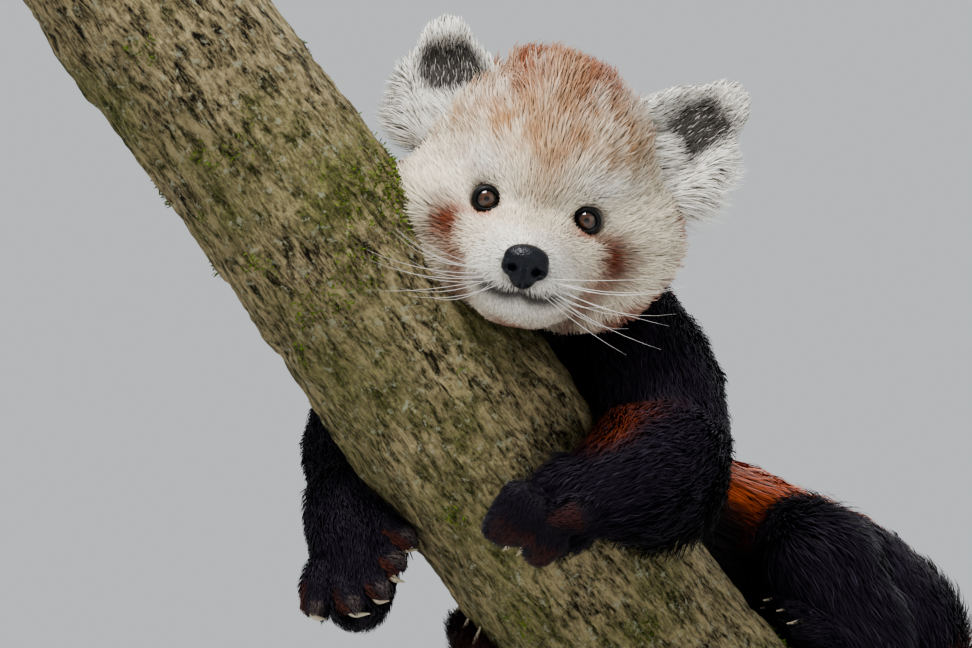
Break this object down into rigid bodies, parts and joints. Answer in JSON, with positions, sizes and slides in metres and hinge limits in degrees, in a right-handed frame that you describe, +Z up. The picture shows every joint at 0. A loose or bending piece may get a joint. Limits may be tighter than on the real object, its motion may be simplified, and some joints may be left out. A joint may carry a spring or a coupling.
{
  "type": "red panda display model",
  "caption": "Life-size red panda clinging to a sloping cut length of branch with its head turned to the front, tail hanging, held on a flat plate by upright rods.",
  "frame": {"origin": "middle of the underside of the stand base", "axes": "+Z up, +X towards the foot of the sloping perch, -Y towards the side the face looks to"},
  "size_m": [0.5021, 0.3874, 0.7527],
  "materials": {
    "red_fur": "long dense rust-red fur",
    "dark_fur": "black-brown fur of the limbs",
    "face_fur": "short cream and white fur with rust marks",
    "nose_leather": "moist black nose leather",
    "eye": "dark brown glossy eye",
    "claw": "pale horn",
    "bark": "rough bark with moss and lichen, pale wood at the cut ends",
    "stand_plate": "satin black",
    "stand_rod": "brushed"
  },
  "bodies": {
    "root": {"stand_base": "stand_plate", "perch": "bark", "stand_rod_upper": "stand_rod", "stand_rod_lower": "stand_rod", "eye_left": "eye", "eye_right": "eye", "nose": "nose_leather", "claw_left_front_1": "claw", "claw_left_front_2": "claw", "claw_left_front_3": "claw", "claw_left_front_4": "claw", "claw_left_front_5": "claw", "claw_right_front_1": "claw", "claw_right_front_2": "claw", "claw_right_front_3": "claw", "claw_right_front_4": "claw", "claw_right_front_5": "claw", "claw_left_hind_1": "claw", "claw_left_hind_2": "claw", "claw_left_hind_3": "claw", "claw_left_hind_4": "claw", "claw_left_hind_5": "claw", "claw_right_hind_1": "claw", "claw_right_hind_2": "claw", "claw_right_hind_3": "claw", "claw_right_hind_4": "claw", "claw_right_hind_5": "claw", "head": "face_fur", "ear_left": "face_fur", "ear_right": "face_fur", "torso": "red_fur", "neck": "red_fur", "arm_left_upper": "dark_fur", "arm_right_upper": "dark_fur", "arm_left_lower": "dark_fur", "arm_right_lower": "dark_fur", "leg_left_upper": "dark_fur", "leg_right_upper": "dark_fur", "leg_left_lower": "dark_fur", "leg_right_lower": "dark_fur", "tail_base": "red_fur", "tail_middle": "red_fur", "tail_tip": "red_fur", "paw_left_front": "dark_fur", "paw_right_front": "dark_fur", "paw_left_hind": "dark_fur", "paw_right_hind": "dark_fur"}
  },
  "joints": []
}
